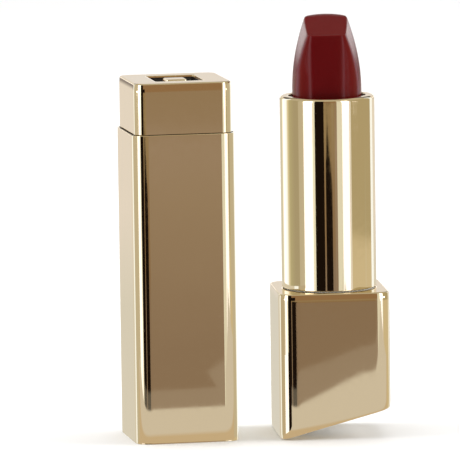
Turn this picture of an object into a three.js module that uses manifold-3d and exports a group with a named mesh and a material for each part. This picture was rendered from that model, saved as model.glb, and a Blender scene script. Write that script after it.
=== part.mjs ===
// A lipstick case: square gilt base with a twist-up mechanism, and its square cap standing beside it.
// Millimetres, +Z up. The origin is midway between base and cap, on the surface that they stand on.

import * as THREE from 'three';
import { mergeVertices } from 'three/addons/utils/BufferGeometryUtils.js';
import Module from 'manifold-3d';

const wasm = await Module();
wasm.setup();

// Driving dimensions of the outside
const BASE_SIDE = 18.9; // the base is square in plan
const CAP_SIDE = 17.7; // and so is the cap, a little slimmer
const CORNER = 2.5; // radius of their upright edges
const BASE_HEIGHT = 24.9; // at the tall left side
const BASE_SLANT = THREE.MathUtils.degToRad(15); // the underside rises towards +X
const SLEEVE_LENGTH = 32.8; // round sleeve above the base
const SLEEVE_RADIUS = 8.05;
const BULLET_RADIUS = 6.05; // the usual 12.1 mm lipstick
const BULLET_SHOWING = 13.2; // height of the tip above the sleeve as modelled
const BULLET_TURN = THREE.MathUtils.degToRad(-5.4); // the bullet's flat front against the base's front
const CAP_BODY_HEIGHT = 52.4;
const CROWN_HEIGHT = 8.7;
const CROWN_INSET = 0.45; // the crown is narrower than the cap body on every side
const CROWN_CORNER = 1.9;
const APART = 25.8; // between the upright axes of base and cap
const CAP_TURN = THREE.MathUtils.degToRad(5.3); // the cap stands turned against the base

// Driving dimensions of the mechanism
const LEAD = 16; // lift for one turn of the sleeve
const EXTEND = 8.4; // travel left above the modelled position
const RETRACT = 15.6; // travel down to the closed position
const LUG_RADIUS = 0.8;

// Clearances
const FIT = 0.1; // pieces that are pushed together
const SEAT = 0.05; // pieces that rest on each other
const RUNNING = 0.08; // radial, pieces that turn or slide
const GUIDE = 0.12; // radial, guides that only steady a piece
const ENDS = 0.4; // beyond the ends of a travel

// Walls and fineness
const SHELL_WALL = 0.6;
const CAP_WALL = 0.35;
const SLEEVE_WALL = 0.25;
const CUP_WALL = 0.35;
const FORK_WALL = 0.4;
const ROUND = 40; // facets of a round piece
const FINE_ROUND = 16; // facets of a lug or magnet
const RING_FACETS = 6; // facets round the section of the soft ring
const CORNER_STEPS = 3;
const OVERSHOOT = 2; // how far a cutting shape sticks out of what it cuts
const WELD = 1e-4; // vertices closer than this are one

// Finishes
const GILT = { color: 0xc9a46a, roughness: 0.08, metalness: 1 };
const LIPSTICK_RED = { color: 0x6a0d16, roughness: 0.35, metalness: 0 };
const BLACK_PLASTIC = { color: 0x121110, roughness: 0.4, metalness: 0 };
const WHITE_NYLON = { color: 0xe4e2da, roughness: 0.45, metalness: 0 };
const SATIN_ALUMINIUM = { color: 0xc8c8c6, roughness: 0.3, metalness: 1 };
const STEEL = { color: 0x8d8f92, roughness: 0.35, metalness: 1 };
const NICKEL = { color: 0xb8b6b0, roughness: 0.15, metalness: 1 };
const SILICONE = { color: 0x3a3a3a, roughness: 0.8, metalness: 0 };
const LABEL_PAPER = { color: 0xefece4, roughness: 0.9, metalness: 0 };

// ---- helpers ----

function toSolid(geometry) {
  const bare = geometry.clone();
  bare.deleteAttribute('normal');
  bare.deleteAttribute('uv');
  const welded = mergeVertices(bare, WELD);
  return new wasm.Manifold(new wasm.Mesh({
    numProp: 3,
    vertProperties: Float32Array.from(welded.attributes.position.array),
    triVerts: Uint32Array.from(welded.index.array),
  }));
}

function toGeometry(solid) {
  const { vertProperties, triVerts } = solid.getMesh();
  const geometry = new THREE.BufferGeometry();
  geometry.setAttribute('position', new THREE.BufferAttribute(vertProperties, 3));
  geometry.setIndex(new THREE.BufferAttribute(triVerts, 1));
  geometry.computeVertexNormals();
  return geometry;
}

function cut(body, ...tools) {
  return toGeometry(tools.reduce((solid, tool) => solid.subtract(toSolid(tool)), toSolid(body)));
}

function join(body, ...others) {
  return toGeometry(others.reduce((solid, other) => solid.add(toSolid(other)), toSolid(body)));
}

function common(body, ...others) {
  return toGeometry(others.reduce((solid, other) => solid.intersect(toSolid(other)), toSolid(body)));
}

function roundedSquare(side, corner) {
  const run = side / 2 - corner;
  const shape = new THREE.Shape();
  shape.absarc(run, run, corner, 0, Math.PI / 2);
  shape.absarc(-run, run, corner, Math.PI / 2, Math.PI);
  shape.absarc(-run, -run, corner, Math.PI, 1.5 * Math.PI);
  shape.absarc(run, -run, corner, 1.5 * Math.PI, 2 * Math.PI);
  shape.closePath();
  return shape;
}

// An upright prism of the shape between two heights.
function prism(shape, bottom, top) {
  const options = { depth: top - bottom, bevelEnabled: false, curveSegments: CORNER_STEPS };
  return new THREE.ExtrudeGeometry(shape, options).translate(0, 0, bottom);
}

function squarePrism(side, corner, bottom, top) {
  return prism(roundedSquare(side, corner), bottom, top);
}

function block(width, depth, bottom, top) {
  return new THREE.BoxGeometry(width, depth, top - bottom).translate(0, 0, (bottom + top) / 2);
}

function disc(radius, bottom, top, facets = ROUND) {
  const geometry = new THREE.CylinderGeometry(radius, radius, top - bottom, facets);
  return geometry.rotateX(Math.PI / 2).translate(0, 0, (bottom + top) / 2);
}

// A solid of revolution about Z; the outline is pairs of radius and height, anticlockwise, and closes.
function turned(outline) {
  const points = outline.map(([radius, height]) => new THREE.Vector2(radius, height));
  points.push(points[0].clone());
  return new THREE.LatheGeometry(points, ROUND).rotateX(Math.PI / 2);
}

function ring(inner, outer, bottom, top) {
  return turned([[inner, bottom], [outer, bottom], [outer, top], [inner, top]]);
}

// A shape drawn in X and Z, extruded right through the piece along Y.
function sideways(shape, width) {
  const options = { depth: width, bevelEnabled: false };
  return new THREE.ExtrudeGeometry(shape, options).rotateX(Math.PI / 2).translate(0, width / 2, 0);
}

function piece(name, geometry, finish) {
  const mesh = new THREE.Mesh(geometry, new THREE.MeshStandardMaterial(finish));
  mesh.name = name;
  return mesh;
}

// A helix about Z whose sections keep one edge upright and one pointing out from Z.
class UprightHelix extends THREE.Curve {
  constructor(radius, lead, firstAngle, sweep, firstHeight) {
    super();
    Object.assign(this, { radius, lead, firstAngle, sweep, firstHeight });
  }

  getPoint(t, target = new THREE.Vector3()) {
    const angle = this.firstAngle + t * this.sweep;
    const height = this.firstHeight + this.lead * t * this.sweep / (2 * Math.PI);
    return target.set(this.radius * Math.cos(angle), this.radius * Math.sin(angle), height);
  }

  computeFrenetFrames(segments) {
    const frames = { tangents: [], normals: [], binormals: [] };
    for (let i = 0; i <= segments; i += 1) {
      const angle = this.firstAngle + i / segments * this.sweep;
      frames.tangents.push(this.getTangent(i / segments));
      frames.normals.push(new THREE.Vector3(0, 0, 1));
      frames.binormals.push(new THREE.Vector3(Math.cos(angle), Math.sin(angle), 0));
    }
    return frames;
  }
}

// ---- heights that the pieces share ----

const SLEEVE_TOP = BASE_HEIGHT + SLEEVE_LENGTH;
const TIP = SLEEVE_TOP + BULLET_SHOWING;
const CARRIER_HEIGHT = 11;
const CARRIER_FLOOR = 0.9;
const CARRIER_DEPTH = 0.5; // the carrier's rim stays this far inside the mouth when fully out
const CARRIER_TOP = SLEEVE_TOP - CARRIER_DEPTH - EXTEND;
const CARRIER_BOTTOM = CARRIER_TOP - CARRIER_HEIGHT;
const LUG_HEIGHT = CARRIER_BOTTOM + CARRIER_FLOOR + ENDS;

const LIP = 0.6; // thickness of the base's top
const SLOT_CLEARANCE = 0.15; // beside a lug in its slot
const SLOT_TOP = LUG_HEIGHT + EXTEND + LUG_RADIUS + ENDS;
const SLOT_BOTTOM = LUG_HEIGHT - RETRACT - LUG_RADIUS - ENDS;
const FORK_BRIDGE = 1.4; // closes the slots at the top
const FORK_TOP = SLOT_TOP + FORK_BRIDGE;

const INSERT_BOTTOM = 12;
const INSERT_WEB = 1.2; // floor of the insert
const FORK_BOTTOM = INSERT_BOTTOM + INSERT_WEB + FIT;
const FORK_FLANGE = 1.2;
const WASHER_BOTTOM = FORK_BOTTOM + FORK_FLANGE + FIT;
const WASHER_THICKNESS = 0.5;
const SPIRAL_BOTTOM = WASHER_BOTTOM + WASHER_THICKNESS + FIT;
const MOUTH_LIP = 0.5; // thickness of the sleeve's inward lip
const SPIRAL_TOP = SLEEVE_TOP - MOUTH_LIP - FIT;

// ---- radii of the nested tubes, from the inside out ----

const CUP_INNER = BULLET_RADIUS + RUNNING;
const CUP_OUTER = CUP_INNER + CUP_WALL;
const FORK_INNER = CUP_OUTER + RUNNING;
const FORK_OUTER = FORK_INNER + FORK_WALL;
const SPIRAL_INNER = FORK_OUTER + RUNNING;
const SPIRAL_OUTER = SLEEVE_RADIUS - SLEEVE_WALL - SEAT;
const GROOVE_DEPTH = 0.45;
const LUG_REACH = SPIRAL_INNER + GROOVE_DEPTH - RUNNING;
const SNAP_RADIUS = 6.6; // neck of the fork tube under the spiral's inward lip
const INSERT_BORE = SPIRAL_OUTER + 2 * RUNNING;
const GUIDE_BORE = CUP_OUTER + GUIDE; // steadies the carrier at the mouth

// ---- the base ----

// Height of the slanted underside at x.
const undersideAt = (x) => (x + BASE_SIDE / 2) * Math.tan(BASE_SLANT);

// Everything between two planes parallel to the underside, each given by its height above it.
function slantedSlab(lower, upper) {
  const reach = BASE_SIDE / 2 + OVERSHOOT;
  const shape = new THREE.Shape([
    new THREE.Vector2(-reach, undersideAt(-reach) + lower),
    new THREE.Vector2(reach, undersideAt(reach) + lower),
    new THREE.Vector2(reach, undersideAt(reach) + upper),
    new THREE.Vector2(-reach, undersideAt(-reach) + upper),
  ]);
  return sideways(shape, 2 * reach);
}

const belowSlant = (height) => slantedSlab(-BASE_HEIGHT, height);

const PLATE_RECESS = 0.5; // foot plate above the shell's lower edge
const PLATE_THICKNESS = 1;
const LABEL_SIDE = 11;
const LABEL_THICKNESS = 0.2;
const SMALL_CORNER = 1; // of pieces that are hidden or lie flat
const SHELL_INSIDE = BASE_SIDE - 2 * SHELL_WALL;
const INSIDE_CORNER = CORNER - SHELL_WALL;

function baseShell() {
  const lipBottom = BASE_HEIGHT - LIP;
  return piece('base_shell', cut(
    squarePrism(BASE_SIDE, CORNER, 0, BASE_HEIGHT),
    squarePrism(SHELL_INSIDE, INSIDE_CORNER, -OVERSHOOT, lipBottom),
    disc(INSERT_BORE, lipBottom - OVERSHOOT, BASE_HEIGHT + OVERSHOOT),
    belowSlant(0),
  ), GILT);
}

function footPlate() {
  const side = SHELL_INSIDE - 2 * FIT;
  const plate = squarePrism(side, INSIDE_CORNER - FIT, 0, BASE_HEIGHT);
  return piece('foot_plate', common(
    plate,
    slantedSlab(PLATE_RECESS, PLATE_RECESS + PLATE_THICKNESS),
  ), GILT);
}

function shadeLabel() {
  const outline = squarePrism(LABEL_SIDE, SMALL_CORNER, 0, BASE_HEIGHT);
  const top = PLATE_RECESS - SEAT;
  return piece('shade_label', common(outline, slantedSlab(top - LABEL_THICKNESS, top)), LABEL_PAPER);
}

const BASE_WEIGHT_ROOM = 0.6; // round the weight, inside the shell

function baseWeight() {
  const top = INSERT_BOTTOM - FIT;
  return piece('base_weight', cut(
    squarePrism(SHELL_INSIDE - 2 * BASE_WEIGHT_ROOM, INSIDE_CORNER, 0, top),
    belowSlant(PLATE_RECESS + PLATE_THICKNESS + FIT),
  ), STEEL);
}

const MAGNET_RADIUS = 0.95;
const MAGNET_LENGTH = 3;
const MAGNET_OFFSET = 6.85; // from the axis, along X and along Y

// Two opposite corners.
const magnetPlaces = [[MAGNET_OFFSET, MAGNET_OFFSET], [-MAGNET_OFFSET, -MAGNET_OFFSET]];

function magnetPockets(bottom, top) {
  const pocket = disc(MAGNET_RADIUS + SEAT, bottom, top, FINE_ROUND);
  return magnetPlaces.map(([x, y]) => pocket.clone().translate(x, y, 0));
}

function magnets(prefix, bottom) {
  return magnetPlaces.map(([x, y], index) => piece(
    `${prefix}_magnet_${index + 1}`,
    disc(MAGNET_RADIUS, bottom, bottom + MAGNET_LENGTH, FINE_ROUND).translate(x, y, 0),
    NICKEL,
  ));
}

const INSERT_TOP = BASE_HEIGHT - LIP - FIT;
const BASE_MAGNET_BOTTOM = INSERT_TOP - MAGNET_LENGTH - SEAT;

function baseInsert() {
  return piece('base_insert', cut(
    squarePrism(SHELL_INSIDE - 2 * FIT, INSIDE_CORNER - FIT, INSERT_BOTTOM, INSERT_TOP),
    disc(INSERT_BORE, INSERT_BOTTOM + INSERT_WEB, INSERT_TOP + OVERSHOOT),
    ...magnetPockets(BASE_MAGNET_BOTTOM - SEAT, INSERT_TOP + OVERSHOOT),
  ), BLACK_PLASTIC);
}

// ---- the mechanism ----

const FORK_FOOT_WALL = 0.6; // extra wall of the fork tube's foot
const SNAP_GAP = 0.2; // above and below the spiral's lip in the neck
const SPIRAL_LIP = 0.8;
const BRAKE_RADIUS = 0.3; // section of the soft ring
const BRAKE_HEIGHT = SPIRAL_BOTTOM + 4 * SPIRAL_LIP;
const BRAKE_CENTRE = SNAP_RADIUS + BRAKE_RADIUS + SEAT;
const BRAKE_SEAT = BRAKE_CENTRE + BRAKE_RADIUS + SEAT; // bore of the spiral round the ring
const BRAKE_HALF = BRAKE_RADIUS + FIT; // half the height of the ring's groove

function forkTube() {
  const thickBore = FORK_INNER - FORK_FOOT_WALL; // thicker foot, below the carrier's travel
  const thickTop = CARRIER_BOTTOM - RETRACT - ENDS;
  const neckTop = SPIRAL_BOTTOM + SPIRAL_LIP + SNAP_GAP;
  const tube = turned([
    [thickBore, FORK_BOTTOM],
    [INSERT_BORE - FIT, FORK_BOTTOM],
    [INSERT_BORE - FIT, FORK_BOTTOM + FORK_FLANGE],
    [SNAP_RADIUS, FORK_BOTTOM + FORK_FLANGE],
    [SNAP_RADIUS, neckTop],
    [FORK_OUTER, neckTop],
    [FORK_OUTER, BRAKE_HEIGHT - BRAKE_HALF],
    [SNAP_RADIUS, BRAKE_HEIGHT - BRAKE_HALF],
    [SNAP_RADIUS, BRAKE_HEIGHT + BRAKE_HALF],
    [FORK_OUTER, BRAKE_HEIGHT + BRAKE_HALF],
    [FORK_OUTER, FORK_TOP],
    [FORK_INNER, FORK_TOP],
    [FORK_INNER, thickTop],
    [thickBore, thickTop],
  ]);
  const slotWidth = 2 * (LUG_RADIUS + SLOT_CLEARANCE);
  return piece('fork_tube', cut(tube, block(slotWidth, BASE_SIDE, SLOT_BOTTOM, SLOT_TOP)), WHITE_NYLON);
}

function thrustWasher() {
  const inner = SNAP_RADIUS + FIT;
  const outer = SPIRAL_OUTER - FIT;
  const top = WASHER_BOTTOM + WASHER_THICKNESS;
  return piece('thrust_washer', ring(inner, outer, WASHER_BOTTOM, top), WHITE_NYLON);
}

function brakeRing() {
  const torus = new THREE.TorusGeometry(BRAKE_CENTRE, BRAKE_RADIUS, RING_FACETS, ROUND);
  return piece('brake_ring', torus.translate(0, 0, BRAKE_HEIGHT), SILICONE);
}

const LUG_ANGLES = [Math.PI / 2, 1.5 * Math.PI]; // the two lugs face front and back
const GROOVE_PLAY = 0.25; // above and below a lug
const GROOVE_PITCH = Math.atan(LEAD / (2 * Math.PI * SPIRAL_INNER)); // slope of the groove
const GROOVE_HALF = LUG_RADIUS / Math.cos(GROOVE_PITCH) + GROOVE_PLAY;
const GROOVE_RUN_OUT = THREE.MathUtils.degToRad(10); // past the lug at both ends of its travel

// The groove that carries one lug from its lowest to its highest place.
function helicalGroove(lugAngle) {
  const perRadian = LEAD / (2 * Math.PI);
  const down = RETRACT / perRadian + GROOVE_RUN_OUT;
  const up = EXTEND / perRadian + GROOVE_RUN_OUT;
  const middle = (SPIRAL_INNER + SPIRAL_INNER + GROOVE_DEPTH) / 2;
  const inward = middle - SPIRAL_INNER + FORK_WALL / 2; // breaks through the bore
  const outward = GROOVE_DEPTH / 2;
  const path = new UprightHelix(middle, LEAD, lugAngle - down, down + up, LUG_HEIGHT - down * perRadian);
  const section = new THREE.Shape([
    new THREE.Vector2(-GROOVE_HALF, -inward),
    new THREE.Vector2(GROOVE_HALF, -inward),
    new THREE.Vector2(GROOVE_HALF, outward),
    new THREE.Vector2(-GROOVE_HALF, outward),
  ]);
  const steps = Math.ceil((down + up) / (2 * Math.PI) * ROUND);
  return new THREE.ExtrudeGeometry(section, { steps, bevelEnabled: false, extrudePath: path });
}

function spiral() {
  const lipTop = SPIRAL_BOTTOM + SPIRAL_LIP;
  const seatBottom = BRAKE_HEIGHT - 2 * BRAKE_HALF;
  const seatTop = BRAKE_HEIGHT + 2 * BRAKE_HALF;
  const guideBottom = FORK_TOP + ENDS; // narrower above the fork tube, to guide the carrier
  const tube = turned([
    [SNAP_RADIUS + GUIDE, SPIRAL_BOTTOM],
    [SPIRAL_OUTER, SPIRAL_BOTTOM],
    [SPIRAL_OUTER, SPIRAL_TOP],
    [GUIDE_BORE, SPIRAL_TOP],
    [GUIDE_BORE, guideBottom],
    [SPIRAL_INNER, guideBottom],
    [SPIRAL_INNER, seatTop],
    [BRAKE_SEAT, seatTop],
    [BRAKE_SEAT, seatBottom],
    [SPIRAL_INNER, seatBottom],
    [SPIRAL_INNER, lipTop],
    [SNAP_RADIUS + GUIDE, lipTop],
  ]);
  return piece('spiral_sleeve', cut(tube, ...LUG_ANGLES.map(helicalGroove)), WHITE_NYLON);
}

const SLEEVE_LIFT = 0.15; // the sleeve runs clear of the base's top
const MOUTH_CHAMFER = 0.3;

function goldSleeve() {
  const bottom = BASE_HEIGHT + SLEEVE_LIFT;
  const inner = SLEEVE_RADIUS - SLEEVE_WALL;
  const lipBottom = SLEEVE_TOP - MOUTH_LIP;
  return piece('gold_sleeve', turned([
    [inner, bottom],
    [SLEEVE_RADIUS, bottom],
    [SLEEVE_RADIUS, SLEEVE_TOP - MOUTH_CHAMFER],
    [SLEEVE_RADIUS - MOUTH_CHAMFER, SLEEVE_TOP],
    [GUIDE_BORE, SLEEVE_TOP],
    [GUIDE_BORE, lipBottom],
    [inner, lipBottom],
  ]), GILT);
}

function carrierCup() {
  const cup = turned([
    [0, CARRIER_BOTTOM],
    [CUP_OUTER, CARRIER_BOTTOM],
    [CUP_OUTER, CARRIER_TOP],
    [CUP_INNER, CARRIER_TOP],
    [CUP_INNER, CARRIER_BOTTOM + CARRIER_FLOOR],
    [0, CARRIER_BOTTOM + CARRIER_FLOOR],
  ]);
  const root = CUP_INNER + FIT; // the lugs start inside the cup's wall
  const length = LUG_REACH - root;
  const lug = new THREE.CylinderGeometry(LUG_RADIUS, LUG_RADIUS, length, FINE_ROUND)
    .translate(0, root + length / 2, LUG_HEIGHT);
  const lugs = LUG_ANGLES.map((angle) => lug.clone().rotateZ(angle - Math.PI / 2));
  return piece('carrier_cup', join(cup, ...lugs), SATIN_ALUMINIUM);
}

// ---- the lipstick ----

const FACET_START = SLEEVE_TOP + 1; // the side flats leave the round here
const FACET_CURVE = 1.5; // and fall in with this power of the height
const FACET_DEPTH = 0.079; // by this much over the first millimetre
const FACET_YAW = THREE.MathUtils.degToRad(8); // both side flats turn a little to the front
const FACET_STEPS = 8;
const FACET_MARGIN = 0.01; // the side flats start this far outside the round
const FRONT_LEAN = Math.tan(THREE.MathUtils.degToRad(0.5)); // the flat front leans back
const FRONT_AT_MOUTH = 5.56; // the flat front's distance from the axis at the sleeve's mouth
const TOP_SLOPE = THREE.MathUtils.degToRad(13); // the slanted top falls towards the front
const WIDE = BASE_SIDE; // reach of the shapes that cut the bullet

// All points nearer to the axis than the side flat.
function insideSideFlat() {
  const start = BULLET_RADIUS + FACET_MARGIN;
  const shape = new THREE.Shape();
  shape.moveTo(-WIDE, CARRIER_BOTTOM);
  shape.lineTo(start + OVERSHOOT, CARRIER_BOTTOM);
  shape.lineTo(start + OVERSHOOT, FACET_START);
  const rise = TIP + OVERSHOOT - FACET_START;
  for (let step = 0; step <= FACET_STEPS; step += 1) {
    const height = rise * step / FACET_STEPS;
    shape.lineTo(start - FACET_DEPTH * height ** FACET_CURVE, FACET_START + height);
  }
  shape.lineTo(-WIDE, TIP + OVERSHOOT);
  return sideways(shape, 2 * WIDE);
}

function insideFront() {
  const frontAt = (z) => -(FRONT_AT_MOUTH - FRONT_LEAN * (z - SLEEVE_TOP));
  const bottom = CARRIER_BOTTOM;
  const top = TIP + OVERSHOOT;
  const shape = new THREE.Shape([
    new THREE.Vector2(frontAt(bottom), bottom),
    new THREE.Vector2(WIDE, bottom),
    new THREE.Vector2(WIDE, top),
    new THREE.Vector2(frontAt(top), top),
  ]);
  return sideways(shape, 2 * WIDE).rotateZ(Math.PI / 2);
}

function belowTopSlant() {
  const topAt = (y) => TIP + (y - BULLET_RADIUS) * Math.tan(TOP_SLOPE);
  const shape = new THREE.Shape([
    new THREE.Vector2(-WIDE, CARRIER_BOTTOM),
    new THREE.Vector2(WIDE, CARRIER_BOTTOM),
    new THREE.Vector2(WIDE, topAt(WIDE)),
    new THREE.Vector2(-WIDE, topAt(-WIDE)),
  ]);
  return sideways(shape, 2 * WIDE).rotateZ(Math.PI / 2);
}

function lipstick() {
  const bullet = common(
    disc(BULLET_RADIUS, CARRIER_BOTTOM + CARRIER_FLOOR + SEAT, TIP),
    insideSideFlat().rotateZ(-FACET_YAW),
    insideSideFlat().rotateZ(Math.PI + FACET_YAW),
    insideFront(),
    belowTopSlant(),
  );
  return piece('lipstick', bullet.rotateZ(BULLET_TURN), LIPSTICK_RED);
}

// ---- the cap ----

const CAP_INSIDE = CAP_SIDE - 2 * CAP_WALL;
const CAP_INSIDE_CORNER = CORNER - CAP_WALL;
const CAP_ROOF = 0.6;
const NECK_INSET = 1.2; // the crown's neck against the cap's side
const NECK_SIDE = CAP_SIDE - 2 * NECK_INSET;
const NECK_CORNER = CORNER - NECK_INSET;
const NECK_LENGTH = 2.4;
const REBATE_DEPTH = 0.4; // step in the cap's top edge that takes the gasket
const REBATE_WALL = 0.2;
const REBATE_SIDE = CAP_SIDE - 2 * REBATE_WALL;
const REBATE_CORNER = CORNER - REBATE_WALL;
const REBATE_FLOOR = CAP_BODY_HEIGHT - REBATE_DEPTH;
const CAP_CEILING = REBATE_FLOOR - CAP_ROOF;

function capShell() {
  return piece('cap_shell', cut(
    squarePrism(CAP_SIDE, CORNER, 0, CAP_BODY_HEIGHT),
    squarePrism(CAP_INSIDE, CAP_INSIDE_CORNER, -OVERSHOOT, CAP_CEILING),
    squarePrism(NECK_SIDE, NECK_CORNER, 0, CAP_BODY_HEIGHT + OVERSHOOT),
    squarePrism(REBATE_SIDE, REBATE_CORNER, REBATE_FLOOR, CAP_BODY_HEIGHT + OVERSHOOT),
  ), GILT);
}

// Dark ring that shows as a line between cap body and crown.
function crownGasket() {
  const bottom = REBATE_FLOOR + SEAT;
  const top = CAP_BODY_HEIGHT - SEAT;
  return piece('crown_gasket', cut(
    squarePrism(REBATE_SIDE - 2 * SEAT, REBATE_CORNER - SEAT, bottom, top),
    squarePrism(NECK_SIDE, NECK_CORNER, bottom - OVERSHOOT, top + OVERSHOOT),
  ), BLACK_PLASTIC);
}

const CROWN_SIDE = CAP_SIDE - 2 * CROWN_INSET;
const CAP_TOP = CAP_BODY_HEIGHT + CROWN_HEIGHT;
const CROWN_WALL = 1; // round the hollow neck and over it
const RECESS_WIDTH = 8.2;
const RECESS_LENGTH = 9.7;
const RECESS_DEPTH = 2.5;
const INLAY_THICKNESS = 0.4;

function capCrown() {
  const neckBottom = REBATE_FLOOR - NECK_LENGTH;
  const neckSide = NECK_SIDE - 2 * FIT;
  const headAndNeck = join(
    squarePrism(CROWN_SIDE, CROWN_CORNER, CAP_BODY_HEIGHT, CAP_TOP),
    squarePrism(neckSide, NECK_CORNER - FIT, neckBottom, CAP_BODY_HEIGHT + FIT),
  );
  const hollowTop = CAP_TOP - RECESS_DEPTH - CROWN_WALL;
  return piece('cap_crown', cut(
    headAndNeck,
    squarePrism(neckSide - 2 * CROWN_WALL, SMALL_CORNER, neckBottom - OVERSHOOT, hollowTop),
    block(RECESS_WIDTH, RECESS_LENGTH, CAP_TOP - RECESS_DEPTH, CAP_TOP + OVERSHOOT),
  ), GILT);
}

function crownInlay() {
  const bottom = CAP_TOP - RECESS_DEPTH + SEAT;
  const plate = block(RECESS_WIDTH - FIT, RECESS_LENGTH - FIT, bottom, bottom + INLAY_THICKNESS);
  return piece('crown_inlay', plate, BLACK_PLASTIC);
}

const STUD_FOOT = 5.4; // side of the stud's foot
const STUD_TOP = 3.4; // side of its flat top

// A plain four-sided stud with sloping shoulders and a flat top.
function crownStud() {
  const bottom = CAP_TOP - RECESS_DEPTH + INLAY_THICKNESS + 2 * SEAT;
  const top = CAP_TOP - SEAT;
  const stud = new THREE.CylinderGeometry(STUD_TOP / Math.SQRT2, STUD_FOOT / Math.SQRT2, top - bottom, 4)
    .rotateX(Math.PI / 2)
    .rotateZ(Math.PI / 4)
    .translate(0, 0, (bottom + top) / 2);
  return piece('crown_stud', stud, GILT);
}

const LINER_BOTTOM = 0.6;
const LINER_BORE = SLEEVE_RADIUS + GUIDE;
const LINER_BORE_TOP = SLEEVE_LENGTH + 3; // the sleeve goes in with 3 mm to spare
const LINER_CEILING = 1;
const LINER_TRAY = LINER_BORE_TOP + LINER_CEILING; // floor of the tray that holds the weight
const WEIGHT_HEIGHT = 5;
const WEIGHT_SIDE = 14.4;

function capLiner() {
  return piece('cap_liner', cut(
    squarePrism(CAP_INSIDE - FIT, CAP_INSIDE_CORNER, LINER_BOTTOM, LINER_TRAY + WEIGHT_HEIGHT),
    disc(LINER_BORE, LINER_BOTTOM - OVERSHOOT, LINER_BORE_TOP),
    squarePrism(WEIGHT_SIDE + 2 * FIT, SMALL_CORNER, LINER_TRAY, LINER_TRAY + WEIGHT_HEIGHT + OVERSHOOT),
    ...magnetPockets(LINER_BOTTOM - OVERSHOOT, LINER_BOTTOM + MAGNET_LENGTH + 2 * FIT),
  ), BLACK_PLASTIC);
}

function capWeight() {
  const bottom = LINER_TRAY + SEAT;
  const top = bottom + WEIGHT_HEIGHT - FIT;
  return piece('cap_weight', squarePrism(WEIGHT_SIDE, SMALL_CORNER, bottom, top), STEEL);
}

// ---- the object ----

const base = new THREE.Group();
base.add(baseShell(), footPlate(), shadeLabel(), baseWeight(), baseInsert());
base.add(...magnets('base', BASE_MAGNET_BOTTOM));
base.add(forkTube(), thrustWasher(), brakeRing());
base.add(spiral(), goldSleeve(), carrierCup(), lipstick());
base.position.x = APART / 2;

const cap = new THREE.Group();
cap.add(capShell(), crownGasket(), capCrown(), crownInlay(), crownStud(), capLiner(), capWeight());
cap.add(...magnets('cap', LINER_BOTTOM + FIT));
cap.position.x = -APART / 2;
cap.rotation.z = CAP_TURN;

const lipstickCase = new THREE.Group();
lipstickCase.add(base, cap);

export default lipstickCase;
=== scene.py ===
import math

import bmesh
import bpy
from mathutils import Matrix, Quaternion, Vector

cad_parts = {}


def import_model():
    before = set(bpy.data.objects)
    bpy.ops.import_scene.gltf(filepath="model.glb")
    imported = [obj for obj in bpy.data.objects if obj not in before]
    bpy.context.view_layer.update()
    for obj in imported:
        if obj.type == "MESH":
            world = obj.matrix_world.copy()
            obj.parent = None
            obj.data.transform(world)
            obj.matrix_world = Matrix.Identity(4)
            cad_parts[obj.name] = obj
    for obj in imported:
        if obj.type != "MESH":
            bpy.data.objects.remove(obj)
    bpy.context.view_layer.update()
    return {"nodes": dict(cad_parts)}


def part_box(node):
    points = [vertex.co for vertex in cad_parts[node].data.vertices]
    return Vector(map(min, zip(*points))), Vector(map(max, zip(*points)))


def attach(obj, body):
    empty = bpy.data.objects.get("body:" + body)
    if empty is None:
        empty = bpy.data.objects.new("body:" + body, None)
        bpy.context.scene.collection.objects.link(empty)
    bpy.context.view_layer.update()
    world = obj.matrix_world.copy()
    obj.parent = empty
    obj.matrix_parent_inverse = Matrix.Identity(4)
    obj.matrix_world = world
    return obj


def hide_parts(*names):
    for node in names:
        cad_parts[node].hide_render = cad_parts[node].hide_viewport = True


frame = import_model()

MM = 0.001
FRONT = -math.pi / 2  # bearing of -Y about the upright axis

# ---- the view ----

VIEW_AZIMUTH = math.radians(-5.4)
VIEW_ELEVATION = math.radians(7)
VIEW_ROLL = math.radians(-0.8)
VIEW_DISTANCE = 1.2
VIEW_WIDTH = 78 * MM  # what the frame takes in at the object
VIEW_CENTRE = Vector((-3.9 * MM, 0, 35.0 * MM))
SENSOR = 36.0  # Blender's own unit, millimetres
FAR = 20  # where the camera stops seeing

# ---- where the CAD pieces are ----

shell_low, shell_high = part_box("base_shell")
sleeve_low, sleeve_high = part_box("gold_sleeve")
bullet_low, bullet_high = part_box("lipstick")
cap_low, cap_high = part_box("cap_shell")
crown_low, crown_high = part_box("cap_crown")
stud_low, stud_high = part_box("crown_stud")
inlay_low, inlay_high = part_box("crown_inlay")
gasket_low, gasket_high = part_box("crown_gasket")
plate_low, plate_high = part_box("foot_plate")

BASE_SIDE = shell_high.y - shell_low.y
BASE_SLOPE = math.tan(math.radians(15))
CAP_SIDE = 17.7 * MM
CAP_TURN = math.radians(5.3)

base_place = Matrix.Translation(((shell_low.x + shell_high.x) / 2, 0, 0))
cap_place = Matrix.Translation(((cap_low.x + cap_high.x) / 2, 0, 0)) @ Matrix.Rotation(CAP_TURN, 4, "Z")

# ---- fineness ----

CORNER_STEPS = 24
FILLET_STEPS = 6
LEAD_STEPS = 6
LEAD_TILT = math.radians(6)  # how far a face has turned where its lead meets the rounding
ROUND_STEPS = 192
LEVEL_FACE = 0.9999  # a face whose normal is steeper than this is kept quite flat


# ---- outlines: points seen from above, each with the way it faces ----

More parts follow.
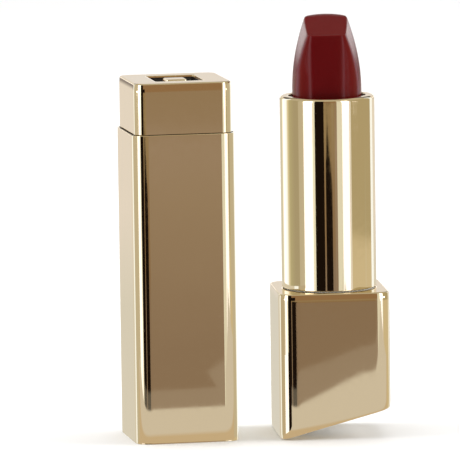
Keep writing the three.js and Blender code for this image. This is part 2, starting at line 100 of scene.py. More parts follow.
def soft_square(side, tight, loose, sharpness, flat_steps=1):
    """A square whose corners curve gently off the flats (radius loose) and tightest in the middle.

    Each straight run is cut into flat_steps pieces.
    """
    step = math.pi / 2 / CORNER_STEPS
    points = [(0.0, 0.0)]
    for index in range(CORNER_STEPS):
        angle = (index + 0.5) * step
        radius = tight + (loose - tight) * abs(math.cos(2 * angle)) ** sharpness
        x, y = points[-1]
        points.append((x + radius * math.cos(angle) * step, y + radius * math.sin(angle) * step))
    reach = points[-1][0]
    run = side / 2 - reach
    angles = [FRONT + index * step for index in range(len(points))]
    for index in range(1, flat_steps):
        points.append((reach, reach + 2 * run * index / flat_steps))
        angles.append(0.0)
    outline = []
    for quarter in range(4):
        turn = Matrix.Rotation(quarter * math.pi / 2, 2)
        for (along, inward), angle in zip(points, angles):
            point = turn @ Vector((run + along, inward - side / 2))
            outline.append((point, turn @ Vector((math.cos(angle), math.sin(angle)))))
    return outline


def round_square(side, radius):
    return soft_square(side, radius, radius, 1)


def rectangle(width, length, corner):
    """A rounded rectangle: a round square with two of its sides moved."""
    stretch = Vector(((width - length) / 2, 0))
    outline = []
    for point, facing in round_square(length, corner):
        outline.append((point + (stretch if point.x > 0 else -stretch), facing))
    return outline


def matching_circle(outline, radius):
    """A circle with one point for each point of the outline, in the same direction."""
    return [(point.normalized() * radius, point.normalized()) for point, _ in outline]


def level(outline, inset, height):
    """The outline, moved inwards and lifted, as a ring of points."""
    ring = []
    for point, facing in outline:
        x, y = point - facing * inset
        ring.append(Vector((x, y, height)))
    return ring


def slanted(outline, inset, lift):
    """Like level, on a plane parallel to the base's slanted underside."""
    ring = level(outline, inset, lift)
    for point in ring:
        point.z += (point.x + BASE_SIDE / 2) * BASE_SLOPE
    return ring


def rounding(radius, lead=0.0):
    """Pairs of inset and drop from an end face round to the side, which may curve in gently over its lead."""
    tilt = LEAD_TILT if lead else 0.0
    arcs = [(radius, 0.0, math.pi / 2 - tilt, FILLET_STEPS)]
    if lead:
        arcs.append((lead / math.sin(tilt), math.pi / 2 - tilt, math.pi / 2, LEAD_STEPS))
    points = [(0.0, 0.0)]
    for bend, start, end, steps in arcs:
        out, drop = points[-1]
        for step in range(1, steps + 1):
            angle = start + (end - start) * step / steps
            x = out + bend * (math.sin(angle) - math.sin(start))
            points.append((x, drop + bend * (math.cos(start) - math.cos(angle))))
    reach = points[-1][0]
    return [(reach - x, drop) for x, drop in points]


def rounded_foot(outline, radius, height, inset=0.0, lead=0.0):
    return [level(outline, inset + step_in, height + drop) for step_in, drop in rounding(radius, lead)]


def rounded_top(outline, radius, height, inset=0.0, lead=0.0):
    steps = reversed(rounding(radius, lead))
    return [level(outline, inset + step_in, height - drop) for step_in, drop in steps]


def level_top(outline, radius, lead, opening, height):
    """The flat between a rounded edge and an opening, with a narrow border along both."""
    reach = rounding(radius, lead)[0][0]
    return [
        level(outline, reach + BORDER, height),
        level(opening, -FINE_EDGE - BORDER, height),
        level(opening, -FINE_EDGE, height),
        level(opening, 0, height - FINE_EDGE),
    ]


# ---- meshes ----

def skin(rings, closed=False, floor=False, lid=False):
    """A skin over rings of equal length, closed on itself or with its ends filled."""
    mesh = bmesh.new()
    rows = [[mesh.verts.new(point) for point in ring] for ring in rings]
    if closed:
        rows.append(rows[0])
    for lower, upper in zip(rows, rows[1:]):
        for i in range(len(lower)):
            j = (i + 1) % len(lower)
            mesh.faces.new((lower[i], lower[j], upper[j], upper[i]))
    if floor:
        mesh.faces.new(rows[0])
    if lid:
        mesh.faces.new(rows[-1])
    return mesh


def lathe(profile):
    """A closed profile of radius and height, turned about the upright axis."""
    rings = []
    for radius, height in profile:
        ring = []
        for step in range(ROUND_STEPS):
            angle = 2 * math.pi * step / ROUND_STEPS
            ring.append(Vector((radius * math.cos(angle), radius * math.sin(angle), height)))
        rings.append(ring)
    return skin(rings, closed=True)


def add_object(name, mesh, material):
    data = bpy.data.meshes.new(name)
    mesh.to_mesh(data)
    mesh.free()
    data.materials.append(material)
    thing = bpy.data.objects.new(name, data)
    bpy.context.scene.collection.objects.link(thing)
    return thing


def add_piece(name, mesh, material, body, node, place, keep_flats=True):
    """A smooth piece that stands for a CAD node."""
    bmesh.ops.recalc_face_normals(mesh, faces=mesh.faces)
    bmesh.ops.transform(mesh, matrix=place, verts=mesh.verts)
    piece = add_object(name, mesh, material)
    for face in piece.data.polygons:
        face.use_smooth = abs(face.normal.z) < LEVEL_FACE
    if keep_flats:
        piece.modifiers.new("flats stay flat", "WEIGHTED_NORMAL")
    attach(piece, body)
    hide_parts(node)
    return piece


# ---- material helpers ----

def new_material(name):
    material = bpy.data.materials.new(name)
    material.use_nodes = True
    tree = material.node_tree
    return material, tree, tree.nodes["Principled BSDF"]


def noise(tree, scale, detail=3.0):
    place = tree.nodes.new("ShaderNodeTexCoord")
    texture = tree.nodes.new("ShaderNodeTexNoise")
    texture.inputs["Scale"].default_value = scale
    texture.inputs["Detail"].default_value = detail
    tree.links.new(place.outputs["Object"], texture.inputs["Vector"])
    return texture.outputs["Fac"]


def spread(tree, value, low, high, start=0.3, end=0.7):
    """Maps a value from start..end to low..high."""
    node = tree.nodes.new("ShaderNodeMapRange")
    node.inputs["From Min"].default_value = start
    node.inputs["From Max"].default_value = end
    node.inputs["To Min"].default_value = low
    node.inputs["To Max"].default_value = high
    tree.links.new(value, node.inputs["Value"])
    return node.outputs["Result"]


# where the Mix node keeps its sockets for colours
MIX_FACTOR = 0
MIX_FIRST = 6
MIX_SECOND = 7
MIX_RESULT = 2


def blend_colours(tree, factor, first, second):
    node = tree.nodes.new("ShaderNodeMix")
    node.data_type = "RGBA"
    for socket, colour in ((node.inputs[MIX_FIRST], first), (node.inputs[MIX_SECOND], second)):
        if isinstance(colour, tuple):
            socket.default_value = (*colour, 1)
        else:
            tree.links.new(colour, socket)
    tree.links.new(factor, node.inputs[MIX_FACTOR])
    return node.outputs[MIX_RESULT]


def bump(tree, shader, height, distance, strength):
    node = tree.nodes.new("ShaderNodeBump")
    node.inputs["Strength"].default_value = strength
    node.inputs["Distance"].default_value = distance
    tree.links.new(height, node.inputs["Height"])
    tree.links.new(node.outputs["Normal"], shader.inputs["Normal"])


def sharp_edges(tree):
    """1 on sharp outer edges, 0 elsewhere."""
    geometry = tree.nodes.new("ShaderNodeNewGeometry")
    return spread(tree, geometry.outputs["Pointiness"], low=0, high=1, start=0.52, end=0.60)


# ---- materials ----

GILT_TINT = (0.94, 0.80, 0.56)
GILT_FULL = (0.95, 0.81, 0.57)
GILT_DEEP = (0.93, 0.79, 0.55)
GILT_PALE_EDGE = (0.95, 0.84, 0.64)
WAX_DARK = (0.104, 0.0012, 0.0020)
WAX_LIGHT = (0.118, 0.0016, 0.0027)


def gilt():
    """Polished gold plating: a cloud in its colour, sharp edges paler, hairline polish, slight waves."""
    material, tree, shader = new_material("gilt")
    shader.inputs["Metallic"].default_value = 1
    cloud = blend_colours(tree, noise(tree, scale=160, detail=2), GILT_FULL, GILT_DEEP)
    pale_edged = blend_colours(tree, sharp_edges(tree), cloud, GILT_PALE_EDGE)
    tree.links.new(pale_edged, shader.inputs["Base Color"])
    polish = noise(tree, scale=900, detail=4)
    tree.links.new(spread(tree, polish, low=0.03, high=0.06), shader.inputs["Roughness"])
    waves = noise(tree, scale=140, detail=1)
    bump(tree, shader, waves, distance=0.02 * MM, strength=0.25)
    return material


def lipstick_wax():
    """Satin red wax: slightly uneven colour, a fine grain and a soft sheen."""
    material, tree, shader = new_material("lipstick_wax")
    shader.inputs["Specular IOR Level"].default_value = 0.18
    colour = blend_colours(tree, noise(tree, scale=260), WAX_DARK, WAX_LIGHT)
    tree.links.new(colour, shader.inputs["Base Color"])
    grain = noise(tree, scale=3000, detail=4)
    tree.links.new(spread(tree, grain, low=0.20, high=0.26), shader.inputs["Roughness"])
    bump(tree, shader, grain, distance=0.004 * MM, strength=0.4)
    return material


def plastic(name, dark, light, roughness):
    """Moulded plastic with a fine spark-eroded grain."""
    material, tree, shader = new_material(name)
    mottle = noise(tree, scale=300, detail=2)
    tree.links.new(blend_colours(tree, mottle, dark, light), shader.inputs["Base Color"])
    grain = noise(tree, scale=5000)
    either_way = 0.05
    rough = spread(tree, grain, low=roughness - either_way, high=roughness + either_way)
    tree.links.new(rough, shader.inputs["Roughness"])
    bump(tree, shader, grain, distance=0.006 * MM, strength=0.5)
    return material


def metal(name, dark, light, roughness, scale):
    """Satin metal with a fine mottle in colour and polish."""
    material, tree, shader = new_material(name)
    shader.inputs["Metallic"].default_value = 1
    mottle = noise(tree, scale, detail=4)
    tree.links.new(blend_colours(tree, mottle, dark, light), shader.inputs["Base Color"])
    either_way = 0.2 * roughness
    rough = spread(tree, mottle, low=roughness - either_way, high=roughness + either_way)
    tree.links.new(rough, shader.inputs["Roughness"])
    bump(tree, shader, mottle, distance=0.003 * MM, strength=0.4)
    return material


GILT = gilt()
WAX = lipstick_wax()
LACQUER = plastic("black_lacquer", (0.010, 0.008, 0.007), (0.016, 0.013, 0.011), 0.12)
BLACK_PLASTIC = plastic("black_plastic", (0.012, 0.011, 0.011), (0.020, 0.019, 0.018), 0.42)
NYLON = plastic("nylon", (0.70, 0.69, 0.64), (0.78, 0.77, 0.72), 0.40)
SILICONE = plastic("silicone", (0.030, 0.030, 0.030), (0.045, 0.045, 0.045), 0.75)
LABEL = plastic("label_paper", (0.84, 0.82, 0.77), (0.89, 0.87, 0.82), 0.85)
ALUMINIUM = metal("aluminium", (0.74, 0.74, 0.73), (0.82, 0.82, 0.81), 0.28, 1500)
STEEL = metal("steel", (0.48, 0.48, 0.50), (0.58, 0.58, 0.60), 0.34, 1200)
NICKEL = metal("nickel", (0.68, 0.66, 0.63), (0.75, 0.73, 0.70), 0.14, 1200)

# ---- the base ----

TIGHT = 2.1 * MM
LOOSE = 4.7 * MM
SHARPNESS = 8
EDGE = 0.3 * MM
FINE_EDGE = 0.12 * MM
BORDER = 0.08 * MM  # keeps the shading of an edge off the flat beside it
LEAD = 1.2 * MM  # over which a face curves in towards its edge
SHELL_WALL = 0.6 * MM
SHELL_HOLE = 7.9 * MM
HOLE_STEPS = 20  # points along each flat, which keep the hole round
PLATE_UNDER = 0.5 * MM  # the foot plate's two faces, above the rim of the slanted underside
PLATE_OVER = 1.5 * MM


def base_shell():
    """The square shell, open along its slanted underside, with a round hole in its top."""
    outline = soft_square(BASE_SIDE, TIGHT, LOOSE, SHARPNESS, HOLE_STEPS)
    hole = matching_circle(outline, SHELL_HOLE)
    top = shell_high.z
    rings = [slanted(outline, inset, drop) for inset, drop in rounding(EDGE, LEAD)]
    rings += rounded_top(outline, EDGE, top, lead=LEAD)
    rings += level_top(outline, EDGE, LEAD, hole, top)
    rings.append(level(hole, 0, top - SHELL_WALL))
    rings.append(level(outline, SHELL_WALL, top - SHELL_WALL))
    rings.append(slanted(outline, SHELL_WALL, 0))
    mesh = skin(rings, closed=True)
    add_piece("base_shell_fine", mesh, GILT, "base", "base_shell", base_place)


def foot_plate():
    """The plate that closes the slanted underside, a little inside its rim."""
    outline = soft_square(BASE_SIDE, TIGHT, LOOSE, SHARPNESS)
    inset = (BASE_SIDE - (plate_high.y - plate_low.y)) / 2
    rings = [slanted(outline, inset + i, PLATE_UNDER + drop) for i, drop in rounding(FINE_EDGE)]
    rings.append(slanted(outline, inset, PLATE_OVER))
    mesh = skin(rings, floor=True, lid=True)
    add_piece("foot_plate_fine", mesh, GILT, "base", "foot_plate", base_place)


base_shell()
foot_plate()

# ---- the gold sleeve ----

SLEEVE_WALL = 0.25 * MM
MOUTH = 6.6 * MM
MOUTH_ROLL = 0.6 * MM
LIP = 0.5 * MM


def gold_sleeve():
    """A thin tube with a rolled mouth and a lip inside it."""
    outer = (sleeve_high.x - sleeve_low.x) / 2
    inner = outer - SLEEVE_WALL
    top = sleeve_high.z
    profile = [(inner, sleeve_low.z), (outer - FINE_EDGE, sleeve_low.z), (outer, sleeve_low.z + FINE_EDGE)]
    profile += [(outer - i, top - drop) for i, drop in reversed(rounding(MOUTH_ROLL))]
    profile += [(MOUTH + i, top - drop) for i, drop in rounding(FINE_EDGE)]
    profile += [(MOUTH, top - LIP), (inner, top - LIP - MOUTH_ROLL / 2)]
    add_piece("gold_sleeve_fine", lathe(profile), GILT, "sleeve", "gold_sleeve", base_place)


gold_sleeve()

# ---- the lipstick ----

BULLET_RADIUS = 6.05 * MM
BULLET_TURN = math.radians(-5.4)
FACET_START = 1.0 * MM  # above the sleeve's mouth
FACET_YAW = math.radians(8)
FACET_DEPTH = 0.079  # how far the side flats fall in over their first millimetre
FACET_CURVE = 1.5  # they fall in with this power of their height
FRONT_AT_MOUTH = 5.56 * MM
FRONT_LEAN = math.tan(math.radians(0.5))
TOP_SLOPE = math.tan(math.radians(13))
SIDE_CREASE = 14  # higher gives sharper creases beside the side flats
SIDE_MARGIN = 0.2 * MM  # gives back what that softness takes away
FRONT_CREASE = 40  # the same for the flat front
BULLET_ROWS = 40
BULLET_STEPS = 288
ROWS_BELOW = 1 * MM  # how far below the mouth the fine rows start
TOP_RINGS = 4  # steps from the top's edge to its middle
RIM_ROUND = 0.2 * MM  # round of the top's edge
HALVINGS = 30  # in the search for the top's height
SMALLEST_COSINE = 0.001  # a flat seen from further round than this is as good as nowhere


def side_flat(height):
    """The side flats' distance from the axis."""
    above = max(height - FACET_START, 0) / MM
    return BULLET_RADIUS - FACET_DEPTH * above ** FACET_CURVE * MM


def soften(distances, sharpness):
    """The smallest of the distances, with a soft change from one to the next."""
    return sum(distance ** -sharpness for distance in distances) ** (-1 / sharpness)


def flat_distance(distance, direction, angle):
    """How far along the angle a flat lies that is at a distance in its own direction."""
    return distance / max(math.cos(angle - direction), SMALLEST_COSINE)


def bullet_radius(angle, height):
    """The bullet's radius: the round and its three flats, joined by soft creases."""
    side = side_flat(height) + SIDE_MARGIN
    left = flat_distance(side, math.pi + FACET_YAW, angle)
    right = flat_distance(side, -FACET_YAW, angle)
    front = flat_distance(FRONT_AT_MOUTH - FRONT_LEAN * height, FRONT, angle)
    return soften((soften((BULLET_RADIUS, left, right), SIDE_CREASE), front), FRONT_CREASE)


def under_top(angle, mouth):
    """Height of the slanted top above the mouth in this direction, by halving."""
    low, high = 0.0, bullet_high.z - mouth
    for _ in range(HALVINGS):
        height = (low + high) / 2
        y = bullet_radius(angle, height) * math.sin(angle)
        if height < bullet_high.z - mouth + (y - BULLET_RADIUS) * TOP_SLOPE:
            low = height
        else:
            high = height
    return low


def on_bullet(angle, height, mouth, inset=0.0):
    radius = bullet_radius(angle, height) - inset
    return Vector((radius * math.cos(angle), radius * math.sin(angle), mouth + height))


def bullet():
    mouth = sleeve_high.z
    angles = [2 * math.pi * step / BULLET_STEPS for step in range(BULLET_STEPS)]
    tops = [under_top(angle, mouth) for angle in angles]
    foot = bullet_low.z - mouth
    rings = [[on_bullet(angle, foot, mouth) for angle in angles]]
    for row in range(BULLET_ROWS + 1):
        share = row / BULLET_ROWS
        rings.append([
            on_bullet(angle, (top - RIM_ROUND + ROWS_BELOW) * share - ROWS_BELOW, mouth)
            for angle, top in zip(angles, tops)
        ])
    for inset, drop in reversed(rounding(RIM_ROUND)[:-1]):
        rings.append([on_bullet(angle, top - drop, mouth, inset) for angle, top in zip(angles, tops)])
    rim = rings[-1]
    centre = sum(rim, Vector()) / len(rim)
    for step in range(1, TOP_RINGS):
        rings.append([point.lerp(centre, step / TOP_RINGS) for point in rim])
    place = base_place @ Matrix.Rotation(BULLET_TURN, 4, "Z")
    mesh = skin(rings, floor=True, lid=True)
    add_piece("lipstick_fine", mesh, WAX, "carrier", "lipstick", place, keep_flats=False)


bullet()

# ---- the cap ----

CAP_WALL = 0.35 * MM
NECK_INSET = 1.2 * MM
REBATE_WALL = 0.2 * MM
REBATE_DEPTH = 0.4 * MM
CAP_ROOF = 0.6 * MM
CROWN_SIDE = 16.8 * MM
CROWN_CORNER = 1.9 * MM
SEAT = 0.05 * MM
RECESS_WIDTH = 8.2 * MM
RECESS_LENGTH = 9.7 * MM
RECESS_CORNER = 0.3 * MM
INLAY_WALL = 0.25 * MM
INLAY_BELOW = 0.3 * MM  # from the crown's top down to the inlay's rim
STUD_FOOT = 5.4 * MM
STUD_HEAD = 3.4 * MM
STUD_CORNER = 0.3 * MM


def cap_shell():
    """The cap's body, open below, with a rebate round its top and a hole there for the crown's neck."""
    outline = soft_square(CAP_SIDE, TIGHT, LOOSE, SHARPNESS)
    top = cap_high.z
    shelf = top - REBATE_DEPTH
    roof = shelf - CAP_ROOF
    rings = rounded_foot(outline, FINE_EDGE, 0)
    rings += rounded_top(outline, FINE_EDGE, top)
    rings.append(level(outline, REBATE_WALL, top))
    rings.append(level(outline, REBATE_WALL, shelf))
    rings.append(level(outline, NECK_INSET, shelf))
    rings.append(level(outline, NECK_INSET, roof))
    rings.append(level(outline, CAP_WALL, roof))
    rings.append(level(outline, CAP_WALL, 0))
    mesh = skin(rings, closed=True)
    add_piece("cap_shell_fine", mesh, GILT, "cap", "cap_shell", cap_place)


def crown_gasket():
    """The ring in the rebate, which shows as a dark line under the crown; it is a real piece, and its black
    is painted shade for the seam between crown and body.
    """
    outline = soft_square(CAP_SIDE, TIGHT, LOOSE, SHARPNESS)
    rings = [level(outline, REBATE_WALL + SEAT, gasket_low.z)]
    rings += rounded_top(outline, FINE_EDGE, gasket_high.z, REBATE_WALL + SEAT)
    rings.append(level(outline, NECK_INSET, gasket_high.z))
    rings.append(level(outline, NECK_INSET, gasket_low.z))
    mesh = skin(rings, closed=True)
    add_piece("crown_gasket_painted_shade_fine", mesh, BLACK_PLASTIC, "cap", "crown_gasket", cap_place)


def cap_crown():
    """The cap's narrower top, with its neck below and its recess above."""
    outline = round_square(CROWN_SIDE, CROWN_CORNER)
    recess = rectangle(RECESS_WIDTH, RECESS_LENGTH, RECESS_CORNER)
    neck = NECK_INSET - (CAP_SIDE - CROWN_SIDE) / 2 + 2 * SEAT
    seat = cap_high.z
    top = crown_high.z
    rings = [level(outline, neck, crown_low.z), level(outline, neck, seat)]
    rings += rounded_foot(outline, FINE_EDGE, seat)
    rings += rounded_top(outline, EDGE, top, lead=LEAD)
    rings += level_top(outline, EDGE, LEAD, recess, top)
    rings.append(level(recess, 0, inlay_low.z - SEAT))
    mesh = skin(rings, floor=True, lid=True)
    add_piece("cap_crown_fine", mesh, GILT, "cap", "cap_crown", cap_place)


def crown_inlay():
    """A black lacquered tray that lines the recess up to just under its edge."""
    outline = rectangle(RECESS_WIDTH, RECESS_LENGTH, RECESS_CORNER)
    rim = crown_high.z - INLAY_BELOW
    inside = SEAT + INLAY_WALL
    rings = [level(outline, SEAT, inlay_low.z), level(outline, SEAT, rim)]
    rings += [level(outline, inside, rim), level(outline, inside, inlay_high.z)]
    mesh = skin(rings, floor=True, lid=True)
    add_piece("crown_inlay_fine", mesh, LACQUER, "cap", "crown_inlay", cap_place)


def crown_stud():
    """A four-sided stud that narrows to its flat head."""
    rings = [level(round_square(STUD_FOOT, STUD_CORNER), 0, stud_low.z)]
    rings += rounded_top(round_square(STUD_HEAD, STUD_CORNER), FINE_EDGE, stud_high.z)
    mesh = skin(rings, floor=True, lid=True)
    add_piece("crown_stud_fine", mesh, GILT, "cap", "crown_stud", cap_place)


cap_shell()
crown_gasket()
cap_crown()
crown_inlay()
crown_stud()

# ---- finishes of the CAD pieces that stay ----

FINISHES = {
    "shade_label": LABEL,
    "base_weight": STEEL,
    "base_insert": BLACK_PLASTIC,
    "base_magnet_1": NICKEL,
    "base_magnet_2": NICKEL,
    "fork_tube": NYLON,
    "thrust_washer": NYLON,
    "brake_ring": SILICONE,
    "spiral_sleeve": NYLON,
    "carrier_cup": ALUMINIUM,
    "cap_liner": BLACK_PLASTIC,
    "cap_weight": STEEL,
    "cap_magnet_1": NICKEL,
    "cap_magnet_2": NICKEL,
}
for node, material in FINISHES.items():
    frame["nodes"][node].data.materials.clear()
    frame["nodes"][node].data.materials.append(material)


# ---- studio: cards that only reflections see ----

def linear(value):
    """From an sRGB value, 0 to 255, to the light that it stands for."""
    share = value / 255
    return share / 12.92 if share <= 0.04045 else ((share + 0.055) / 1.055) ** 2.4


def in_gilt(red, green, blue, alpha=1.0):
    """The light of a card that the gilt shows as this sRGB colour."""
    light = [linear(value) / tint for value, tint in zip((red, green, blue), GILT_TINT)]
    return (*light, alpha)


def glow():
    """A surface that only shines, as its vertices are painted."""
    material, tree, shader = new_material("glow")
    shader.inputs["Base Color"].default_value = (0, 0, 0, 1)
    shader.inputs["Specular IOR Level"].default_value = 0
    shader.inputs["Emission Strength"].default_value = 1
    paint = tree.nodes.new("ShaderNodeAttribute")
    paint.attribute_name = "paint"
    tree.links.new(paint.outputs["Color"], shader.inputs["Emission Color"])
    return material, tree, shader, paint.outputs["Alpha"]


def glow_both_sides():
    material, tree, shader, alpha = glow()
    tree.links.new(alpha, shader.inputs["Alpha"])
    return material


def glow_one_side():
    material, tree, shader, _ = glow()
    geometry = tree.nodes.new("ShaderNodeNewGeometry")
    front = spread(tree, geometry.outputs["Backfacing"], low=1, high=0, start=0, end=1)
    tree.links.new(front, shader.inputs["Alpha"])
    return material


BOTH_SIDES = glow_both_sides()
ONE_SIDE = glow_one_side()


def card(name, rows, material=BOTH_SIDES):
    """A card over rows of painted points."""
    mesh = bmesh.new()
    paint = mesh.verts.layers.float_color.new("paint")
    grid = []
    for row in rows:
        verts = []
        for point, colour in row:
            vert = mesh.verts.new(point)
            vert[paint] = colour
            verts.append(vert)
        grid.append(verts)
    for lower, upper in zip(grid, grid[1:]):
        for i in range(len(lower) - 1):
            mesh.faces.new((lower[i], lower[i + 1], upper[i + 1], upper[i]))
    thing = add_object(name, mesh, material)
    thing.visible_camera = False
    thing.visible_diffuse = False
    thing.visible_shadow = False
    thing.visible_transmission = False


WALL_DISTANCE = 1.0
WALL_LOW = -0.6
WALL_HIGH = 0.8
NEARER = 0.99  # of the wall's distance, for what hangs in front of it
WALL_STEP = 3  # degrees

EYE_HEIGHT = VIEW_CENTRE.z + VIEW_DISTANCE * math.sin(VIEW_ELEVATION)
FACE_TO_EYE = VIEW_DISTANCE * math.cos(VIEW_ELEVATION) - BASE_SIDE / 2
FACE_TO_WALL = WALL_DISTANCE - BASE_SIDE / 2


def mirrored_at(height):
    """How high on the wall is what an upright face shows at this height."""
    return height + (height - EYE_HEIGHT) * FACE_TO_WALL / FACE_TO_EYE


def on_wall(bearing, height, distance):
    """A point on the round wall; bearing 0 is towards the camera, positive to the camera's right."""
    angle = FRONT + VIEW_AZIMUTH + math.radians(bearing)
    return Vector((distance * math.cos(angle), distance * math.sin(angle), height))


def wall(name, start, end, shades, distance=WALL_DISTANCE):
    """An upright curved card between two bearings in degrees; its shades are pairs of height and colour."""
    steps = max(2, round(abs(end - start) / WALL_STEP))
    bearings = [start + (end - start) * step / steps for step in range(steps + 1)]
    rows = [
        [(on_wall(bearing, height, distance), colour) for bearing in bearings]
        for height, colour in shades
    ]
    card(name, rows)


def bands(*parts):
    """Shades that are even from each low to its high, and blend in between."""
    shades = []
    for low, high, colour in parts:
        shades += [(low, colour), (high, colour)]
    return shades


def plain(colour):
    return bands((WALL_LOW, WALL_HIGH, colour))


def blend(*stops):
    """Shades that blend from stop to stop, at the heights in millimetres where an upright face shows them."""
    shades = [(mirrored_at(height * MM), colour) for height, colour in stops]
    return [(WALL_LOW, shades[0][1]), *shades, (WALL_HIGH, shades[-1][1])]


BLACK = (0.010, 0.006, 0.004, 1)
DARK = (0.07, 0.065, 0.06, 1)
WHITE = (1.45, 1.50, 1.70, 1)
WHITE_HIGH = (3.2, 3.2, 3.4, 1)
WHITE_NEUTRAL = (2.0, 2.0, 2.0, 1)
GLEAM = (4.0, 4.0, 4.3, 1)
BRIGHT = in_gilt(253, 246, 222)
CREAM = in_gilt(222, 208, 171)
CREAM_LEFT = in_gilt(235, 221, 182)
CREAM_RIGHT = in_gilt(228, 209, 178)
TAN_LEFT = (0.56, 0.52, 0.42, 1)
TAN_RIGHT = in_gilt(173, 151, 104)
TAN_LIGHT = in_gilt(202, 177, 128)
TAN_BASE = in_gilt(185, 163, 122)
ORANGE_BROWN = in_gilt(142, 106, 66)
BACK = (0.80, 0.75, 0.70, 1)
BACK_LOW = (0.70, 0.68, 0.61, 1)
BACK_DIM = (0.30, 0.27, 0.26, 1)
BASE_BACK = (0.70, 0.67, 0.60, 1)
CEILING = (0.50, 0.46, 0.36, 1)

# heights in millimetres on the object
GILT_TOP = 60.9  # about the highest of all gilt faces
LIPSTICK_TOP = 74.5  # above all that an upright face shows

CAP_BROWN = blend(
    (15.7, in_gilt(137, 111, 81)),
    (41.3, in_gilt(149, 123, 90)),
    (51.6, in_gilt(154, 128, 97)),
    (52.7, in_gilt(146, 119, 85)),
    (GILT_TOP, in_gilt(145, 118, 82)),
    (LIPSTICK_TOP, ORANGE_BROWN),
)
SLEEVE_BROWN = blend(
    (25.0, in_gilt(135, 109, 79)),
    (28.3, in_gilt(136, 104, 67)),
    (41.9, in_gilt(138, 107, 68)),
    (55.5, in_gilt(150, 124, 80)),
    (GILT_TOP, in_gilt(145, 115, 74)),
    (LIPSTICK_TOP, ORANGE_BROWN),
)
WHITE_SHADES = blend((56.5, WHITE), (GILT_TOP, WHITE_HIGH))
TAN_SHADES = blend((32.1, TAN_LIGHT), (33.7, TAN_RIGHT))
BACK_SHADES = bands(
    (WALL_LOW, -0.110, BACK_LOW),
    (-0.080, -0.030, BACK),
    (-0.010, 0.048, BACK_DIM),
    (0.076, 0.100, WHITE_NEUTRAL),
    (0.130, 0.400, BACK),
    (0.450, WALL_HIGH, DARK),
)

FLAG_EDGE = -8.5  # bearing where the black on the left ends

# each card goes from its bearing to the next card's
ROUND_WALL = (
    ("card_back_left", -180, BACK_SHADES),
    ("card_edge_left", -135, plain(BRIGHT)),
    ("card_tan_left", -117, plain(TAN_LEFT)),
    ("card_white_left", -61, WHITE_SHADES),
    ("card_cream_left", -37, plain(CREAM_LEFT)),
    ("card_flag_left", -31, plain(BLACK)),
    ("card_brown_sleeve", FLAG_EDGE, SLEEVE_BROWN),
    ("card_brown_cap", 17, CAP_BROWN),
    ("card_cream", 23, plain(CREAM)),
    ("card_white_right", 36, WHITE_SHADES),
    ("card_cream_right", 54, plain(CREAM_RIGHT)),
    ("card_tan_right", 59, TAN_SHADES),
    ("card_edge_right", 126, plain(BRIGHT)),
    ("card_back_right", 140, BACK_SHADES),
)
ends = [start for _, start, _ in ROUND_WALL[1:]] + [180]
for (name, start, shades), end in zip(ROUND_WALL, ends):
    wall(name, start, end, shades)


def gleam(name, start, end, around):
    """A bright strip that only the lipstick mirrors, as it stands above what the sleeve mirrors."""
    low, full, high = (mirrored_at(height * MM) for height in (GILT_TOP, 68.5, 81.6))
    wall(name, start, end, [(low, around), (full, GLEAM), (high, GLEAM)], NEARER)


def flag_top():
    """The black card that keeps the lipstick's front dark, above what the sleeve mirrors."""
    low, high = (mirrored_at(height * MM) for height in (62, 115.3))
    wall("card_flag_top", FLAG_EDGE, 8, bands((low, high, BLACK)), NEARER)


def flag_middle():
    """The black card whose painted reflection is the dark wedge up the middle of the sleeve.

    Its top edge is given by bearing in degrees and by the height in millimetres where the sleeve shows it.
    """
    edge = ((-5, 46.2), (-1, 54.4), (2, 51.1), (10.5, 42.4))
    card("card_flag_middle", [
        [(on_wall(bearing, WALL_LOW, NEARER), BLACK) for bearing, _ in edge],
        [(on_wall(bearing, mirrored_at(height * MM), NEARER), BLACK) for bearing, height in edge],
    ])


def ceiling():
    reach = WALL_DISTANCE
    card("card_ceiling", [
        [(Vector((x, y, WALL_HIGH)), CEILING) for x in (-reach, reach)]
        for y in (-reach, reach)
    ])


gleam("card_gleam_left", -80, -66, TAN_LEFT)
gleam("card_gleam_right", 64, 78, TAN_RIGHT)
flag_top()
flag_middle()
ceiling()


def screen(name, x, low, high, stops, material=BOTH_SIDES):
    """An upright card between cap and base, so that neither shows in the other.

    Its stops are pairs of y in millimetres and colour; they are painted reflections that the gilt shows
    there.
    """
    rows = [[(Vector((x, y * MM, height)), colour) for y, colour in stops] for height in (low, high)]
    card(name, rows, material)


SCREEN_X = 0.2 * MM
SCREEN_FRONT = -10.0  # in millimetres, like every stop
SCREEN_BACK = 20.0
CORNER_SCREEN_TOP = 14 * MM
GOLD_DARK = in_gilt(168, 149, 107)
GOLD_SHADED = in_gilt(180, 163, 114)
GOLD_SOFT = in_gilt(189, 170, 130)
GOLD_PALE = in_gilt(193, 174, 134)
GOLD_WARM = in_gilt(222, 200, 148)
GOLD_LIGHT = in_gilt(236, 216, 172)
GOLD_EDGE = (0.66, 0.64, 0.52, 1)

screen("screen_sleeve", SCREEN_X, shell_high.z, crown_high.z, (
    (-9.9, GOLD_PALE),
    (-7.1, GOLD_SOFT),
    (-6.7, GOLD_DARK),
    (-4.6, GOLD_DARK),
    (-1.9, GOLD_SHADED),
    (-0.6, GOLD_WARM),
    (0.3, BRIGHT),
    (2.8, WHITE),
    (4.2, WHITE),
    (6.0, GOLD_LIGHT),
    (8.0, GOLD_EDGE),
    (SCREEN_BACK, GOLD_EDGE),
))
screen("screen_corner", SCREEN_X, 0, CORNER_SCREEN_TOP, (
    (-24.0, BLACK),
    (-14.5, BLACK),
    (-14.5, WHITE),
    (SCREEN_FRONT, WHITE),
), ONE_SIDE)
screen("screen_base", SCREEN_X, 0, shell_high.z, (
    (SCREEN_FRONT, TAN_BASE),
    (-6.0, TAN_BASE),
    (-5.8, BRIGHT),
    (-3.8, BRIGHT),
    (-3.6, BASE_BACK),
    (SCREEN_BACK, BASE_BACK),
), ONE_SIDE)
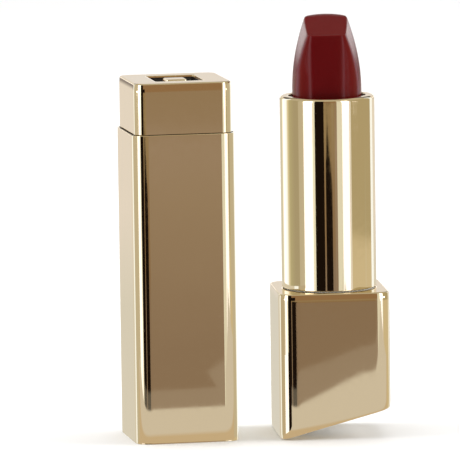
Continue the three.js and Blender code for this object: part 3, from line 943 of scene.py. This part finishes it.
screen("screen_cap", -SCREEN_X, 0, crown_high.z, (
    (-8.6, TAN_LEFT),
    (-4.7, TAN_LEFT),
    (-4.5, BRIGHT),
    (SCREEN_BACK, BRIGHT),
))

GLOW_HEIGHT = 0.2 * MM
FLOOR_PALE = (0.64, 0.61, 0.57)
# the floor just in front, golden and darker: painted shade and gold bounce there, as the lower edges mirror
# it
FLOOR_GOLDEN = in_gilt(196, 168, 124)[:3]
HAZE = 0.175  # how much of the glow is left between its two edges


def floor_glow():
    """The pale floor in front of the object as the gilt mirrors it, fading out along two slanting edges.

    The edges are points in millimetres. Each row follows one of them, a little nearer or further.
    """
    near = [(x, -8) for x in (-120, 8, 9, 14, 20, 120)]
    first = [(-120, -47), (8, -47), (10, -47.5), (19, -69), (26, -86), (120, -170)]
    second = [(-120, -69), (10, -69), (14, -89), (22, -104), (30, -121), (120, -200)]
    rows = []
    for edge, reach, tone, alpha in (
        (near, 1.0, FLOOR_GOLDEN, 1.0),
        (near, 2.0, FLOOR_GOLDEN, 1.0),
        (near, 2.5, FLOOR_PALE, 1.0),
        (first, 0.97, FLOOR_PALE, 1.0),
        (first, 1.03, FLOOR_PALE, HAZE),
        (second, 0.99, FLOOR_PALE, HAZE),
        (second, 1.01, FLOOR_PALE, 0.0),
    ):
        rows.append([(Vector((x * MM, y * reach * MM, GLOW_HEIGHT)), (*tone, alpha)) for x, y in edge])
    card("card_floor_glow", rows)


floor_glow()

FLOOR_REACH = 6
FLOOR_DARK = (0.90, 0.90, 0.90)
FLOOR_LIGHT = (0.93, 0.93, 0.93)


def floor():
    material, tree, shader = new_material("floor")
    tone = blend_colours(tree, noise(tree, scale=3, detail=2), FLOOR_DARK, FLOOR_LIGHT)
    tree.links.new(tone, shader.inputs["Base Color"])
    shader.inputs["Roughness"].default_value = 0.9
    mesh = bmesh.new()
    bmesh.ops.create_grid(mesh, x_segments=1, y_segments=1, size=FLOOR_REACH)
    plane = add_object("floor", mesh, material)
    plane.visible_glossy = False


floor()


# ---- studio: lights ----

def toward(bearing, elevation):
    """A direction in degrees; bearing 0 is towards the camera."""
    angle = FRONT + VIEW_AZIMUTH + math.radians(bearing)
    rise = math.radians(elevation)
    return Vector((math.cos(angle) * math.cos(rise), math.sin(angle) * math.cos(rise), math.sin(rise)))


LIGHT_DISTANCE = 1.2
WORLD_LIGHT = 0.6


def softbox(name, bearing, elevation, size, power):
    data = bpy.data.lights.new(name, "AREA")
    data.shape = "DISK"
    data.size = size
    data.energy = power
    light = bpy.data.objects.new(name, data)
    bpy.context.scene.collection.objects.link(light)
    away = toward(bearing, elevation)
    light.location = away * LIGHT_DISTANCE
    light.rotation_mode = "QUATERNION"
    light.rotation_quaternion = away.to_track_quat("Z", "Y")
    light.visible_glossy = False


softbox("softbox_left", bearing=-90, elevation=30, size=0.8, power=8)
softbox("softbox_right", bearing=90, elevation=30, size=0.8, power=8)
softbox("softbox_top", bearing=180, elevation=75, size=1.0, power=5)


def world():
    studio = bpy.data.worlds.new("studio")
    bpy.context.scene.world = studio
    studio.use_nodes = True
    background = studio.node_tree.nodes["Background"]
    background.inputs["Color"].default_value = (1, 1, 1, 1)
    background.inputs["Strength"].default_value = WORLD_LIGHT


world()
bpy.context.scene.view_settings.view_transform = "Standard"


# ---- camera ----

def camera():
    data = bpy.data.cameras.new("camera")
    data.sensor_width = SENSOR
    data.lens = SENSOR * VIEW_DISTANCE / VIEW_WIDTH
    data.clip_end = FAR
    viewer = bpy.data.objects.new("camera", data)
    bpy.context.scene.collection.objects.link(viewer)
    away = toward(0, math.degrees(VIEW_ELEVATION))
    viewer.location = VIEW_CENTRE + away * VIEW_DISTANCE
    viewer.rotation_mode = "QUATERNION"
    viewer.rotation_quaternion = away.to_track_quat("Z", "Y") @ Quaternion((0, 0, 1), VIEW_ROLL)
    bpy.context.scene.camera = viewer


camera()
